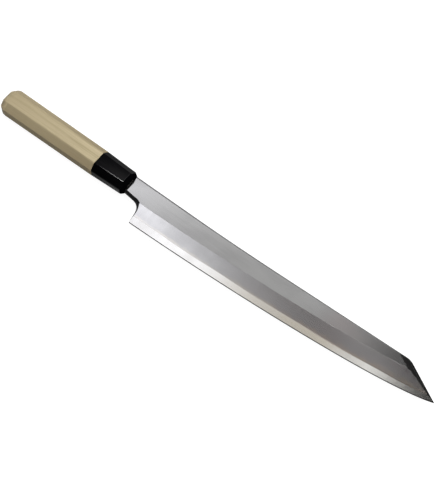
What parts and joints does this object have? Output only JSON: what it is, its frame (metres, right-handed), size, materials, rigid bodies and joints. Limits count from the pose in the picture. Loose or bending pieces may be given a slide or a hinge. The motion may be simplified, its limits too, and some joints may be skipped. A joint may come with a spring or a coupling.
{
  "type": "kiritsuke kitchen knife",
  "caption": "Long single-bevel slicing knife with an angled tip, laminated steel blade, black horn ferrule and octagonal pale wood handle.",
  "frame": {"origin": "under the middle of the knife's box, on the surface that the handle lies on", "axes": "+X along the knife to the tip, +Y towards the spine, +Z out of the ground face of the blade"},
  "size_m": [0.4582, 0.0422, 0.0201],
  "materials": {
    "soft_iron": "satin, brushed along the blade",
    "edge_steel": "polished",
    "horn": "polished black buffalo horn",
    "resin": "dark resin",
    "magnolia": "bare sanded wood, grain along the handle"
  },
  "bodies": {
    "root": {"blade_cladding": "soft_iron", "blade_edge_steel": "edge_steel", "ferrule": "horn", "mouth_seal": "resin", "handle_grip": "magnolia"}
  },
  "joints": []
}
